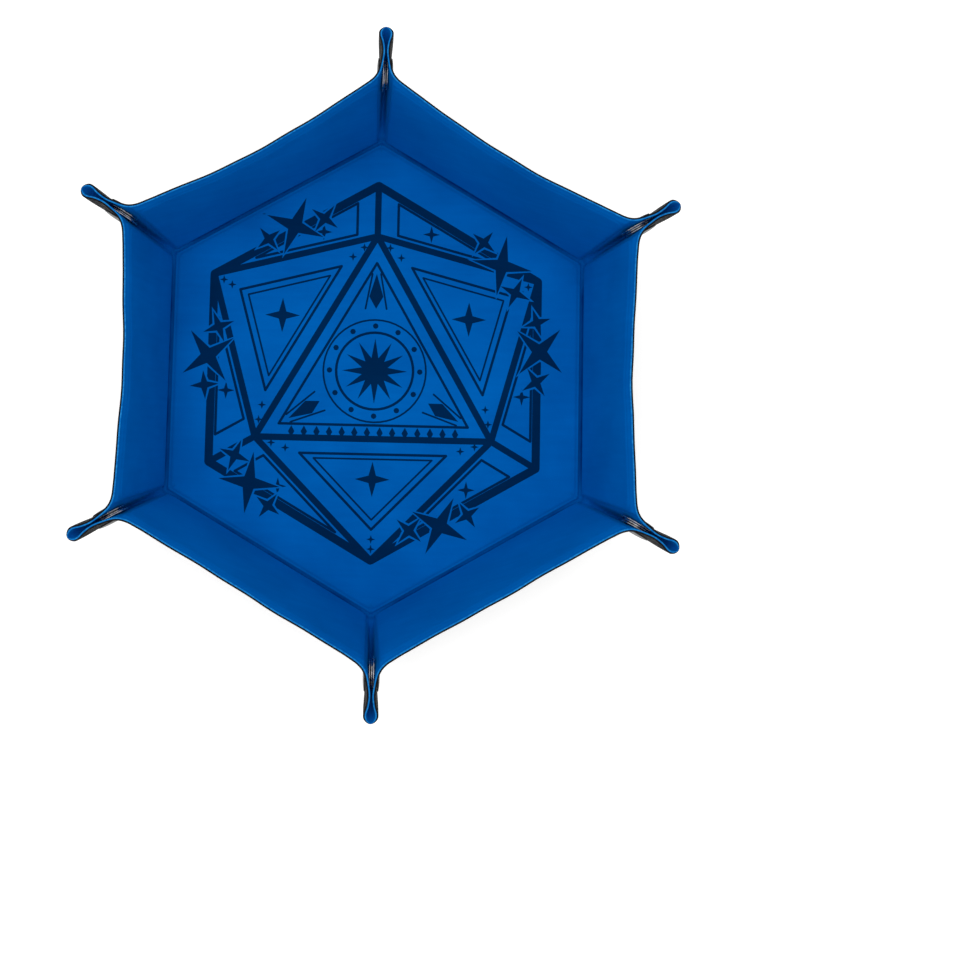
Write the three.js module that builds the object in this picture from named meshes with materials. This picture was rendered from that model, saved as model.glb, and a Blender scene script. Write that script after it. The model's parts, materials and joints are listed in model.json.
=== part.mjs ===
// Folding dice tray: a hexagonal floor, six hinged walls and twelve corner flaps that snap together.
// Millimetres, +Z up. The origin is the middle of the floor's underside, and two corners lie on the Y axis.
//
// The tray is one leather skin and one velvet lining with stiff boards between them. It is modelled flat,
// as it is cut, and then folded up: each wall turns on a floor crease, and each flap turns on a crease at
// the end of its wall. The three creases of a corner meet in one point, so the corner folds like paper.

import * as THREE from "three";

// The flat sheet
const FLOOR_ACROSS = 160;
const SHEET_ACROSS = 252;
const SHEET_CORNER_RADIUS = 20;
const WALL_LEAN = 9.5;

// The layers, counted up from the underside of the skin
const SKIN_THICKNESS = 0.5;
const BOARD_THICKNESS = 1;
const LINING_THICKNESS = 0.45;
const LAYER_GAP = 0.1;
const FLAP_THICKNESS = 1.05;

// Margins round the pieces, measured in the flat sheet
const FLOOR_CREASE_MARGIN = 0.8;
const BOARD_CREASE_MARGIN = 2.2;
const BOARD_RIM_MARGIN = 3.5;
const BOARD_END_MARGIN = 2.7;
const BOARD_CORNER_RADIUS = 3;
const SKIN_END_MARGIN = 2.3;
const LINING_END_MARGIN = 1;
const FLAP_CREASE_MARGIN = 1.7;
const FLAP_RIDGE_MARGIN = 0.4;

// The snap fasteners
const SNAP_REACH = 36.5;
const SNAP_OFFSET = 8.9;
const SNAP_GAP = 0.1;
const FLAP_HOLE_RADIUS = 2;
const SOCKET_RADIUS = 6.25;
const SOCKET_HEIGHT = 1.25;
const SOCKET_BORE_RADIUS = 2.75;
const SOCKET_PLATE = 0.35;
const STUD_RADIUS = 5.25;
const STUD_FLANGE = 0.5;
const STUD_HEIGHT = 1.4;
const STUD_KNOB_RADIUS = 2.35;
const STUD_BORE_RADIUS = 1.3;
const STUD_BORE_DEPTH = 0.95;
const CAP_RADIUS = 5.7;
const CAP_HEIGHT = 0.7;
const CAP_SHANK_RADIUS = 1.6;
const CAP_SHANK_LENGTH = 1.5;
const POST_SHANK_RADIUS = 1;
const POST_SHANK_LENGTH = 1.95;
const ROUND_SIDES = 20;

const SIDES = 6;
const RIGHT_ANGLE = Math.PI / 2;

// What follows from them
const floorApothem = FLOOR_ACROSS / 2;
const wallHeight = (SHEET_ACROSS - FLOOR_ACROSS) / 2;
const halfSide = floorApothem * Math.tan(Math.PI / SIDES);
const lean = THREE.MathUtils.degToRad(WALL_LEAN);
const boardBottom = SKIN_THICKNESS + LAYER_GAP;
const liningBottom = boardBottom + BOARD_THICKNESS + LAYER_GAP;
const creaseHeight = liningBottom + LINING_THICKNESS;

// The wall ends slant by this much, so that the two end creases of a corner meet on its mirror plane
// when the walls stand at their lean. What is left of the corner's half angle is the flap.
const endSlant = Math.atan(Math.sin(lean) / Math.sqrt(3));
const flapAngle = Math.PI / SIDES - endSlant;
const wallFold = RIGHT_ANGLE - lean;

// The flap's fold, which lays it parallel to the mirror plane: the angle between the wall's face and it
const flapFold = Math.acos(Math.cos(lean) / 2);

const skinMaterial = () => new THREE.MeshStandardMaterial({ color: 0x17171a, roughness: 0.6, metalness: 0 });
const boardMaterial = () => new THREE.MeshStandardMaterial({ color: 0x8c8478, roughness: 0.9, metalness: 0 });
const liningMaterial = () => new THREE.MeshStandardMaterial({ color: 0x0a5cab, roughness: 0.95, metalness: 0 });
const silverMaterial = () => new THREE.MeshStandardMaterial({ color: 0xc9ccd1, roughness: 0.3, metalness: 1 });
const blackMaterial = () => new THREE.MeshStandardMaterial({ color: 0x202022, roughness: 0.4, metalness: 0.6 });

function slab(shape, bottom, thickness) {
  const geometry = new THREE.ExtrudeGeometry(shape, { depth: thickness, bevelEnabled: false, curveSegments: 6 });
  geometry.translate(0, 0, bottom);
  return geometry;
}

// A turned piece about Z. The profile is [radius, height] points, anticlockwise as seen with Z up.
function turned(profile) {
  const points = profile.map(([radius, height]) => new THREE.Vector2(radius, height));
  const geometry = new THREE.LatheGeometry(points, ROUND_SIDES);
  geometry.rotateX(RIGHT_ANGLE);
  return geometry;
}

// An outline through corners, each rounded to a radius
function roundedOutline(corners, radius) {
  const shape = new THREE.Shape();
  corners.forEach((corner, index) => {
    const before = corners[(index + corners.length - 1) % corners.length];
    const after = corners[(index + 1) % corners.length];
    const start = corner.clone().add(before.clone().sub(corner).setLength(radius));
    const end = corner.clone().add(after.clone().sub(corner).setLength(radius));
    if (index === 0) {
      shape.moveTo(start.x, start.y);
    } else {
      shape.lineTo(start.x, start.y);
    }
    shape.quadraticCurveTo(corner.x, corner.y, end.x, end.y);
  });
  shape.closePath();
  return shape;
}

function sharpOutline(corners) {
  return new THREE.Shape(corners);
}

function hexagonCorners(apothem) {
  const radius = apothem / Math.cos(Math.PI / SIDES);
  return Array.from({ length: SIDES }, (_, index) => {
    const angle = ((index + 0.5) * 2 * Math.PI) / SIDES;
    return new THREE.Vector2(radius * Math.cos(angle), radius * Math.sin(angle));
  });
}

// A wall's trapezoid, with x from the floor crease to the rim and y along the crease
function wallCorners(creaseMargin, rimMargin, endMargin) {
  const halfWidth = (x) => halfSide + x * Math.tan(endSlant) - endMargin / Math.cos(endSlant);
  const inner = creaseMargin;
  const outer = wallHeight - rimMargin;
  return [
    new THREE.Vector2(inner, -halfWidth(inner)),
    new THREE.Vector2(outer, -halfWidth(outer)),
    new THREE.Vector2(outer, halfWidth(outer)),
    new THREE.Vector2(inner, halfWidth(inner)),
  ];
}

// A flap, with x along its crease from the floor corner to the rim and y away from the wall. It ends on
// the corner's ridge, which is flapAngle from the crease, and it has one hole for its snap.
function flapOutline() {
  const rimNormal = -endSlant;
  const innerX = (FLAP_RIDGE_MARGIN + FLAP_CREASE_MARGIN * Math.cos(flapAngle)) / Math.sin(flapAngle);
  const outerX = (wallHeight + FLAP_CREASE_MARGIN * Math.sin(endSlant)) / Math.cos(endSlant);
  const cornerReach = (wallHeight - SHEET_CORNER_RADIUS) / Math.cos(Math.PI / SIDES);
  const centreX = cornerReach * Math.cos(flapAngle);
  const centreY = cornerReach * Math.sin(flapAngle);
  const ridgeStop = flapAngle - Math.asin(FLAP_RIDGE_MARGIN / SHEET_CORNER_RADIUS);
  const shape = new THREE.Shape();
  shape.moveTo(innerX, FLAP_CREASE_MARGIN);
  shape.lineTo(outerX, FLAP_CREASE_MARGIN);
  shape.absarc(centreX, centreY, SHEET_CORNER_RADIUS, rimNormal, ridgeStop, false);
  shape.closePath();
  const snap = snapCentre();
  const hole = new THREE.Path();
  hole.absarc(snap.x, snap.y, FLAP_HOLE_RADIUS, 0, 2 * Math.PI, true);
  shape.holes.push(hole);
  return shape;
}

// The snap's centre in the same flap's own x and y
function snapCentre() {
  const reach = Math.hypot(SNAP_REACH, SNAP_OFFSET);
  const angle = flapAngle - Math.atan2(SNAP_OFFSET, SNAP_REACH);
  return new THREE.Vector2(reach * Math.cos(angle), reach * Math.sin(angle));
}

// The socket stands on the velvet, open towards the stud, with a hole for the cap's shank in its plate
function socketGeometry() {
  return turned([
    [FLAP_HOLE_RADIUS, 0],
    [SOCKET_RADIUS - 0.2, 0],
    [SOCKET_RADIUS, 0.25],
    [SOCKET_RADIUS - 0.3, 0.55],
    [4.9, 0.8],
    [4.6, SOCKET_HEIGHT],
    [SOCKET_BORE_RADIUS, SOCKET_HEIGHT],
    [SOCKET_BORE_RADIUS, SOCKET_PLATE],
    [FLAP_HOLE_RADIUS, SOCKET_PLATE],
    [FLAP_HOLE_RADIUS, 0],
  ]);
}

// The stud stands on the velvet too: a flange, a necked knob, and a blind bore for its post
function studGeometry() {
  return turned([
    [0, STUD_BORE_DEPTH],
    [STUD_BORE_RADIUS, STUD_BORE_DEPTH],
    [STUD_BORE_RADIUS, 0],
    [STUD_RADIUS - 0.2, 0],
    [STUD_RADIUS, 0.2],
    [STUD_RADIUS - 0.3, 0.42],
    [3.2, STUD_FLANGE],
    [STUD_KNOB_RADIUS - 0.25, 0.65],
    [STUD_KNOB_RADIUS, 1.05],
    [1.7, STUD_HEIGHT],
    [0, STUD_HEIGHT],
  ]);
}

// A domed cap below the skin, with a shank up through the flap. The dome's top face is at height 0.
function capGeometry(shankRadius, shankLength) {
  return turned([
    [0, -CAP_HEIGHT],
    [2.6, -CAP_HEIGHT + 0.04],
    [4.4, -CAP_HEIGHT + 0.2],
    [CAP_RADIUS - 0.25, -0.26],
    [CAP_RADIUS, -0.1],
    [CAP_RADIUS - 0.1, 0],
    [shankRadius, 0],
    [shankRadius, shankLength],
    [0, shankLength],
  ]);
}

function addNode(parent, name, geometry, material) {
  const mesh = new THREE.Mesh(geometry, material);
  mesh.name = name;
  parent.add(mesh);
  return mesh;
}

function addFloor(tray) {
  const outline = sharpOutline(hexagonCorners(floorApothem - FLOOR_CREASE_MARGIN));
  const boardOutline = roundedOutline(hexagonCorners(floorApothem - BOARD_CREASE_MARGIN), BOARD_CORNER_RADIUS);
  addNode(tray, "floor_skin", slab(outline, 0, SKIN_THICKNESS), skinMaterial());
  addNode(tray, "floor_board", slab(boardOutline, boardBottom, BOARD_THICKNESS), boardMaterial());
  addNode(tray, "floor_lining", slab(outline, liningBottom, LINING_THICKNESS), liningMaterial());
}

// A folded wall: its group's x runs up the wall, y along the crease, and z = 0 is the velvet's face
function addWall(tray, number) {
  const heading = new THREE.Group();
  heading.rotation.z = ((number - 1) * 2 * Math.PI) / SIDES;
  tray.add(heading);
  const wall = new THREE.Group();
  wall.position.set(floorApothem, 0, creaseHeight);
  wall.rotation.y = -wallFold;
  heading.add(wall);
  const skin = sharpOutline(wallCorners(FLOOR_CREASE_MARGIN, 0, SKIN_END_MARGIN));
  const lining = sharpOutline(wallCorners(FLOOR_CREASE_MARGIN, 0, LINING_END_MARGIN));
  const boardCorners = wallCorners(BOARD_CREASE_MARGIN, BOARD_RIM_MARGIN, BOARD_END_MARGIN);
  const board = roundedOutline(boardCorners, BOARD_CORNER_RADIUS);
  addNode(wall, `wall_skin_${number}`, slab(skin, -creaseHeight, SKIN_THICKNESS), skinMaterial());
  addNode(wall, `wall_board_${number}`, slab(board, boardBottom - creaseHeight, BOARD_THICKNESS), boardMaterial());
  addNode(wall, `wall_lining_${number}`, slab(lining, -LINING_THICKNESS, LINING_THICKNESS), liningMaterial());
  return wall;
}

// A folded flap at one end of a wall. side is 1 at the anticlockwise end and -1 at the clockwise end,
// where the same flap is turned over end for end.
function addFlap(wall, side, name) {
  const crease = new THREE.Group();
  crease.position.set(0, side * halfSide, 0);
  crease.rotation.z = side * endSlant;
  wall.add(crease);
  const flap = new THREE.Group();
  flap.rotation.x = -side * flapFold;
  crease.add(flap);
  const geometry = slab(flapOutline(), -creaseHeight, FLAP_THICKNESS);
  if (side < 0) {
    geometry.rotateX(Math.PI);
    geometry.translate(0, 0, FLAP_THICKNESS - 2 * creaseHeight);
  }
  addNode(flap, name, geometry, skinMaterial());
  const snap = new THREE.Group();
  snap.position.set(snapCentre().x, side * snapCentre().y, 0);
  flap.add(snap);
  return snap;
}

const velvetFace = FLAP_THICKNESS - creaseHeight + SNAP_GAP;
const skinFace = -creaseHeight - SNAP_GAP;

// The flap at a wall's anticlockwise end carries the stud, held by a post with a domed back
function addStudFlap(wall, number) {
  const snap = addFlap(wall, 1, `stud_flap_${number}`);
  addNode(snap, `stud_${number}`, studGeometry(), silverMaterial()).position.z = velvetFace;
  const post = capGeometry(POST_SHANK_RADIUS, POST_SHANK_LENGTH);
  addNode(snap, `stud_post_${number}`, post, blackMaterial()).position.z = skinFace;
}

// The flap at its clockwise end carries the socket, held by a domed cap
function addSocketFlap(wall, number) {
  const snap = addFlap(wall, -1, `socket_flap_${number}`);
  addNode(snap, `socket_${number}`, socketGeometry(), silverMaterial()).position.z = velvetFace;
  const cap = capGeometry(CAP_SHANK_RADIUS, CAP_SHANK_LENGTH);
  addNode(snap, `socket_cap_${number}`, cap, blackMaterial()).position.z = skinFace;
}

const tray = new THREE.Group();
tray.name = "folding_dice_tray";
addFloor(tray);
for (let number = 1; number <= SIDES; number += 1) {
  const wall = addWall(tray, number);
  addStudFlap(wall, number);
  addSocketFlap(wall, number);
}

export default tray;
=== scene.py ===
"""Folding dice tray: the looks of its velvet, leather, boards, snaps and printed floor.

Lengths are millimetres until a mesh is made. The sheet is described flat, as it is cut. In one
sixth of it, x runs from the floor crease to the rim and y along the crease, and a height counts up
from the skin's underside. fold_up() gives the place of a flat point when the tray stands.
"""

import json
import math

import bpy
import numpy as np
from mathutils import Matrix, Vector
from mathutils.geometry import delaunay_2d_cdt


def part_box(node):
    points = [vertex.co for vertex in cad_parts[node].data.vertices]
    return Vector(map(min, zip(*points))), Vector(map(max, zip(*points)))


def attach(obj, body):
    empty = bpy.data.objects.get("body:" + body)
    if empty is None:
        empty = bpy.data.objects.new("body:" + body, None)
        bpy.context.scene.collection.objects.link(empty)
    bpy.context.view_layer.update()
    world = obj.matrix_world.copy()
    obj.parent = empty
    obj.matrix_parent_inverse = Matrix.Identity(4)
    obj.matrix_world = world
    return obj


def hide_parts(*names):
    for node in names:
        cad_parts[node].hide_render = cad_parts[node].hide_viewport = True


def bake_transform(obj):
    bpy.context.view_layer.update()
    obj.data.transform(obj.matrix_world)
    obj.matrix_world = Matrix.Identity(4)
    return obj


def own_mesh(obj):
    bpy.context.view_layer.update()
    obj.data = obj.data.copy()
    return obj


MM = 0.001
SIDES = 6
SIXTH = 2 * math.pi / SIDES
CORNER = math.pi / SIDES

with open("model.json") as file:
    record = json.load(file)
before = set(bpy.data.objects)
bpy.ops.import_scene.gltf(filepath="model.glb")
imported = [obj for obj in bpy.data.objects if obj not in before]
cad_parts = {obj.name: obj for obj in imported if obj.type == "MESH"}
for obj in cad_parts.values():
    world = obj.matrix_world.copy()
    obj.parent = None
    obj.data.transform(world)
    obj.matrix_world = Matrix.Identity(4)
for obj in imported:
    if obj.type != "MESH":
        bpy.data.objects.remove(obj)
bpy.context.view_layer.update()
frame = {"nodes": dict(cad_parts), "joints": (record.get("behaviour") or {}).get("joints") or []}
joints = {joint["name"]: joint for joint in frame["joints"]}

# ---- What the frame says about the folded sheet

floor_joint = joints["wall_fold_1"]
end_joint = joints["stud_flap_fold_1"]
FLOOR_APOTHEM = floor_joint["pos_m"][0] / MM
CREASE_HEIGHT = floor_joint["pos_m"][2] / MM
HALF_SIDE = FLOOR_APOTHEM * math.tan(CORNER)
LEAN = math.atan2(end_joint["axis"][0], end_joint["axis"][2])
END_SLANT = math.asin(end_joint["axis"][1])
WALL_HEIGHT = (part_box("wall_lining_1")[1].z / MM - CREASE_HEIGHT) / math.cos(LEAN)
WALL_FOLD = math.pi / 2 - LEAN
FLAP_FOLD = math.acos(math.cos(LEAN) / 2)

# ---- The layers, as heights above the skin's underside

LEATHER = 0.5
VELVET = 0.45
PLY_GAP = 0.1
BOARD_BOTTOM = LEATHER + PLY_GAP
BOARD_TOP = CREASE_HEIGHT - VELVET - PLY_GAP
FLAP_FACE = LEATHER + PLY_GAP + VELVET
FLAP_GAP = CREASE_HEIGHT - FLAP_FACE

# ---- The sheet's outline and boards

CORNER_RADIUS = 20.0
BOARD_CREASE_MARGIN = 2.2
BOARD_RIM_MARGIN = 3.5
BOARD_END_MARGIN = 2.7
BOARD_CORNER = 3.0

# ---- The velvet's steps down: past a wall's ends, past a board and in a floor crease

SHOULDER = 2.2
BOARD_STEP = 0.9
STEP_SHARE = 0.3
CRACK = 1.1
RIM_LIFT = 0.3
LIFT_GROWS_OVER = 9.0

# ---- Painted shade along a floor crease, as where it starts and where it is full

CREASE_SHADE_FLOOR = (-1.0, 0.3)
CREASE_SHADE_WALL = (2.6, 0.5)
CREASE_SHADE_CORNER = 0.3
CREASE_SHADE_FADE = 14.0

# ---- A wall's bow, and the kinks in it as depth, turn per millimetre and turn per wall

BOW = 1.55
BOW_UNEVEN = 1.8
BOW_FULLNESS = 1.6
BOW_KINKS = ((0.2, 0.11, 1.9), (0.12, 0.29, 2.7))

# ---- How the sheet bends: the reach of each bend on either side of its crease, and the seams

VELVET_ZONE = 3.0
LEATHER_ZONE = 4.0
FLOOR_BEND = 0.6
END_ZONE = 2.8
FUNNEL_ROOT = 2.0
FUNNEL_RIM = 6.2
END_SEAM = 5.0
SEAM_SLACK = 0.5
ROOT_SHARE = 0.85
ROOT_START = 6.5

# ---- The ear that the two flaps of a corner make

EAR_LOOP = 3.0
ROOT_LOOP = 1.2
EAR_GROWS_OVER = 20.0
LOOP_BULGE = 0.5
LOOP_AT = 3.4
LOOP_REACH = 3.8
LOOP_FROM = 36.0
LOOP_OVER = 12.0
NECK_DIP = 0.72
NECK_AT = 10.6
NECK_REACH = 6.5
NECK_FROM = 41.5
NECK_OVER = 6.0
TIP_WRAP = 0.35
RIDGE_OVERLAP = 0.05
OVERLAP_SHARPNESS = 8
RIDGE_CUT = 0.012

# ---- The rows and columns of the sheets' grids. A stretch of them is its end and its step

CREASE_STRETCHES = ((1.2, 0.15), (5.3, 0.42), (ROOT_START, 0.6))
ROW_STRETCHES = (*CREASE_STRETCHES, (40.8, 1.6), (44.4, 0.36), (WALL_HEIGHT, 0.4))
STRIP_FINE = 1.2
STRIP_STEPS = (0.4, 0.15)
STRIP_TAPER = 0.5
HALF_COLUMNS = ((0.8, 0.055), (1.0, 0.016))
END_COLUMNS = 26
TIP_COLUMNS = 9
FLAP_STEP = 0.8
FLOOR_STEPS = 28
FLOOR_MIDDLE = 6.0
FLOOR_RING = 8.0
FLOOR_EDGE = 5.0
FLOOR_EDGE_RING = 0.45

# ---- The snaps

SNAP_REACH = 36.5
SNAP_OFFSET = 8.9
SNAP_GAP = 0.1
CAP_RADIUS = 5.7
CAP_HEIGHT = 0.7
CAP_SHANK = (1.6, 1.5)
POST_SHANK = (1.0, 1.95)


def smooth(t):
    t = np.clip(t, 0.0, 1.0)
    return t * t * (3 - 2 * t)


def spread(start, end, step):
    """Evenly spaced values from start to end, no more than step apart."""
    return np.linspace(start, end, max(2, int(math.ceil(abs(end - start) / step)) + 1))


def chain(*runs):
    """Several spreads end to end, without their shared ends twice."""
    values = [run if index == 0 else run[1:] for index, run in enumerate(runs)]
    return np.concatenate(values)


# ---- Flat places

def ridge_place(along, off):
    """The flat x and y of a point, from its reach along a corner's ridge and its distance off it."""
    x = along * math.cos(CORNER) + off * math.sin(CORNER)
    y = HALF_SIDE + along * math.sin(CORNER) - off * math.cos(CORNER)
    return x, y


def off_ridge(x, y):
    return (FLOOR_APOTHEM + x) * math.sin(CORNER) - y * math.cos(CORNER)


def along_ridge(x, y):
    return x * math.cos(CORNER) + (y - HALF_SIDE) * math.sin(CORNER)


def wall_end(x, across):
    """The flat y at a distance across the end crease, in the row at x."""
    return HALF_SIDE + x * math.tan(END_SLANT) + across / math.cos(END_SLANT)


def distance_outside(x, y, corners, radius):
    """Signed distance from an outline with rounded corners. The corners run anticlockwise."""
    inner = inset(corners, radius)
    inside = np.full(x.shape, -1e9)
    outside = np.full(x.shape, 1e9)
    for a, b in zip(inner, inner[1:] + inner[:1]):
        edge = np.subtract(b, a)
        length = np.hypot(*edge)
        px, py = x - a[0], y - a[1]
        t = np.clip((px * edge[0] + py * edge[1]) / length**2, 0, 1)
        outside = np.minimum(outside, np.hypot(px - t * edge[0], py - t * edge[1]))
        inside = np.maximum(inside, (px * edge[1] - py * edge[0]) / length)
    return np.where(inside < 0, inside, outside) - radius


def inset(corners, distance):
    """An anticlockwise outline moved inwards by a distance."""
    moved = []
    for before, here, after in zip(corners[-1:] + corners[:-1], corners, corners[1:] + corners[:1]):
        u = np.subtract(here, before) / np.hypot(*np.subtract(here, before))
        v = np.subtract(after, here) / np.hypot(*np.subtract(after, here))
        share = distance / (1 + u @ v)
        moved.append(tuple(np.array(here) + share * np.array((-u[1] - v[1], u[0] + v[0]))))
    return moved


def floor_board_corners():
    apothem = FLOOR_APOTHEM - BOARD_CREASE_MARGIN
    radius = apothem / math.cos(CORNER)
    angles = [(k + 0.5) * SIXTH for k in range(SIDES)]
    return [(radius * math.cos(a) - FLOOR_APOTHEM, radius * math.sin(a)) for a in angles]


def wall_board_corners():
    low, high = BOARD_CREASE_MARGIN, WALL_HEIGHT - BOARD_RIM_MARGIN
    bottom, top = wall_end(low, -BOARD_END_MARGIN), wall_end(high, -BOARD_END_MARGIN)
    return [(low, -bottom), (high, -top), (high, top), (low, bottom)]


def in_own_sixth(x, y):
    """A flat point turned by whole sixths to stand before the first wall, with y not negative."""
    reach, angle = np.hypot(x + FLOOR_APOTHEM, y), np.arctan2(y, x + FLOOR_APOTHEM)
    angle = np.abs(angle - SIXTH * np.round(angle / SIXTH))
    return reach * np.cos(angle) - FLOOR_APOTHEM, reach * np.sin(angle)


def velvet_face(x, y):
    """The height of the velvet's face: over the boards, a step down past them, and right down in the
    creases, past a wall's ends and at its rim."""
    gap = distance_outside(x, y, floor_board_corners(), BOARD_CORNER)
    gap = np.minimum(gap, distance_outside(x, y, wall_board_corners(), BOARD_CORNER))
    x, y = in_own_sixth(x, y)
    past_end = smooth((y - wall_end(x, -BOARD_END_MARGIN)) / SHOULDER) * smooth(1 + x / CRACK)
    past_rim = smooth((x - WALL_HEIGHT + BOARD_RIM_MARGIN) / BOARD_RIM_MARGIN)
    crack = smooth(1 - np.abs(x) / CRACK)
    deep = np.maximum(np.maximum(past_end, past_rim), crack)
    deep = np.maximum(deep, STEP_SHARE * smooth(gap / BOARD_STEP))
    return CREASE_HEIGHT - FLAP_GAP * deep + rim_lift(x, y)


def painted_crease_shade(x, y):
    """How much painted shade lies along a floor crease: on the floor's side, and a little up the
    wall, and less towards the corners."""
    x, y = in_own_sixth(x, y)
    on_floor, on_wall = ((x - edge) / (full - edge) for edge, full in (CREASE_SHADE_FLOOR, CREASE_SHADE_WALL))
    from_corner = CREASE_SHADE_CORNER + (1 - CREASE_SHADE_CORNER) * smooth((HALF_SIDE - y) / CREASE_SHADE_FADE)
    return smooth(on_floor) * smooth(on_wall) * from_corner


def rim_lift(x, y):
    """How far the leather comes up to meet the velvet along a wall's rim, past the board."""
    from_end = wall_end(x, 0.0) - np.abs(y)
    past_board = (x - WALL_HEIGHT + BOARD_RIM_MARGIN) / BOARD_RIM_MARGIN
    return RIM_LIFT * smooth(past_board) * smooth((from_end - BOARD_END_MARGIN) / LIFT_GROWS_OVER)


def wall_bow(x, y, wall):
    """How far a wall leans in between its ends, where no flap holds it. The walls differ."""
    reach = np.clip(np.abs(y) / wall_end(x, -END_SEAM), 0, 1)
    depth = BOW + BOW_UNEVEN * math.sin((wall - 1) * SIXTH)
    kink = sum(deep * np.sin(per_mm * y + per_wall * wall) for deep, per_mm, per_wall in BOW_KINKS)
    return (depth + kink) * (1 - reach**2) ** BOW_FULLNESS * smooth(x / WALL_HEIGHT)


# ---- From flat to folded

def round_crease(across, zone, fold):
    """A strip bent round a crease: its distance past the crease, its rise, and its turn."""
    t = np.clip((across + zone) / (2 * zone), 0, 1)
    bent = zone * t**2 + np.maximum(across - zone, 0)
    straight = np.minimum(across + zone, 0) - zone * (1 - t) ** 2
    turn = np.arctan2(t * np.sin(fold), 1 - t + t * np.cos(fold))
    return straight + bent * np.cos(fold), bent * np.sin(fold), turn


def bend(x, y, height):
    """Where a flat point of one sixth stands, before the corner is closed. y is not negative."""
    h = height - CREASE_HEIGHT
    dy = y - HALF_SIDE
    along = x * math.cos(END_SLANT) + dy * math.sin(END_SLANT)
    across = dy * math.cos(END_SLANT) - x * math.sin(END_SLANT)
    fold = FLAP_FOLD * smooth((x + FLOOR_BEND) / FLOOR_BEND)
    funnel = FUNNEL_ROOT + (FUNNEL_RIM - FUNNEL_ROOT) * smooth(x / WALL_HEIGHT)
    across, drop, turn = round_crease(across, funnel, fold)
    across, h = across + h * np.sin(turn), h * np.cos(turn) - drop
    up = along * math.cos(END_SLANT) - across * math.sin(END_SLANT)
    side = HALF_SIDE + along * math.sin(END_SLANT) + across * math.cos(END_SLANT)
    up, rise, turn = round_crease(up, FLOOR_BEND, WALL_FOLD)
    out = FLOOR_APOTHEM + up - h * np.sin(turn)
    rise = CREASE_HEIGHT + rise + h * np.cos(turn)
    return np.stack([out, side, rise], -1)


MIRROR = np.array([math.sin(CORNER), -math.cos(CORNER), 0.0])


def loop_width(along):
    return ROOT_LOOP + (EAR_LOOP - ROOT_LOOP) * smooth(along / EAR_GROWS_OVER)


def swell(value, middle, reach):
    """1 at the middle, falling smoothly to 0 at the reach on both sides."""
    return np.cos(np.clip((value - middle) / reach, -1, 1) * math.pi / 2) ** 2


def pinch(along, off):
    """How far a flap is drawn in at the neck above the snap, less how far it swells at the loop."""
    neck = NECK_DIP * swell(off, NECK_AT, NECK_REACH) * smooth((along - NECK_FROM) / NECK_OVER)
    loop = LOOP_BULGE * swell(off, LOOP_AT, LOOP_REACH) * smooth((along - LOOP_FROM) / LOOP_OVER)
    return neck - loop


def fold_up(x, y, height, wall):
    """Where a flat point of one sixth stands when the tray is up, in that sixth's own frame."""
    x, y, height = np.broadcast_arrays(*(np.asarray(v, float) for v in (x, y, height)))
    side = np.where(y < 0, -1.0, 1.0)
    bow = wall_bow(x, y, wall)
    y = np.abs(y)
    off, along = off_ridge(x, y), along_ridge(x, y)
    place = bend(x, y, height + bow)
    foot_x, foot_y = ridge_place(along, 0.0)
    foot = bend(foot_x, foot_y, height)
    near = 1 - np.clip((off - RIDGE_CUT) / loop_width(along), 0, 1)
    closing = (foot @ MIRROR) * (1 - np.sqrt(1 - near**2)) + RIDGE_OVERLAP * near**OVERLAP_SHARPNESS
    place -= (closing + pinch(along, off))[..., None] * MIRROR
    depth = np.clip((FLAP_FACE - height) / FLAP_FACE, 0, 1)
    wrap = TIP_WRAP * depth * near**2 * smooth(along / EAR_GROWS_OVER)
    place += wrap[..., None] * RIDGE_OUT
    place[..., 2] = np.maximum(place[..., 2], np.minimum(height, FLAP_FACE))
    place[..., 1] *= side
    return place


FLOOR_RADIUS = FLOOR_APOTHEM / math.cos(CORNER)
RIDGE_SIGHT = 40.0
ridge_point = bend(*ridge_place(RIDGE_SIGHT, 0.0), CREASE_HEIGHT)
ridge_rise = math.atan2(ridge_point[2] - CREASE_HEIGHT, np.hypot(*ridge_point[:2]) - FLOOR_RADIUS)
OUTWARD = np.array([math.cos(CORNER), math.sin(CORNER), 0.0])
UPWARD = np.array([0.0, 0.0, 1.0])
RIDGE_UP = math.cos(ridge_rise) * OUTWARD + math.sin(ridge_rise) * UPWARD
RIDGE_OUT = math.sin(ridge_rise) * OUTWARD - math.cos(ridge_rise) * UPWARD


def turned_to(points, wall):
    """Points of wall 1's sixth, turned to another wall's."""
    angle = (wall - 1) * SIXTH
    turn = np.array([
        [math.cos(angle), -math.sin(angle), 0],
        [math.sin(angle), math.cos(angle), 0],
        [0, 0, 1],
    ])
    return np.asarray(points, float) @ turn.T


# ---- Meshes

def grid_faces(rows, columns):
    index = np.arange(rows * columns).reshape(rows, columns)
    a, b, c, d = index[:-1, :-1], index[1:, :-1], index[1:, 1:], index[:-1, 1:]
    return [tuple(face) for face in np.stack([a, b, c, d], -1).reshape(-1, 4).tolist()]


def weld(points, faces):
    """Merges flat points that lie in one place, and drops the faces that this closes up."""
    keys, first, index = {}, [], []
    for number, point in enumerate(np.round(points, 4).tolist()):
        key = tuple(point)
        if key not in keys:
            keys[key] = len(first)
            first.append(number)
        index.append(keys[key])
    kept = []
    for face in faces:
        loop = [index[v] for v in face]
        loop = [v for k, v in enumerate(loop) if v != loop[k - 1]]
        if len(set(loop)) > 2:
            kept.append(tuple(loop))
    return np.asarray(points)[first], kept


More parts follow.
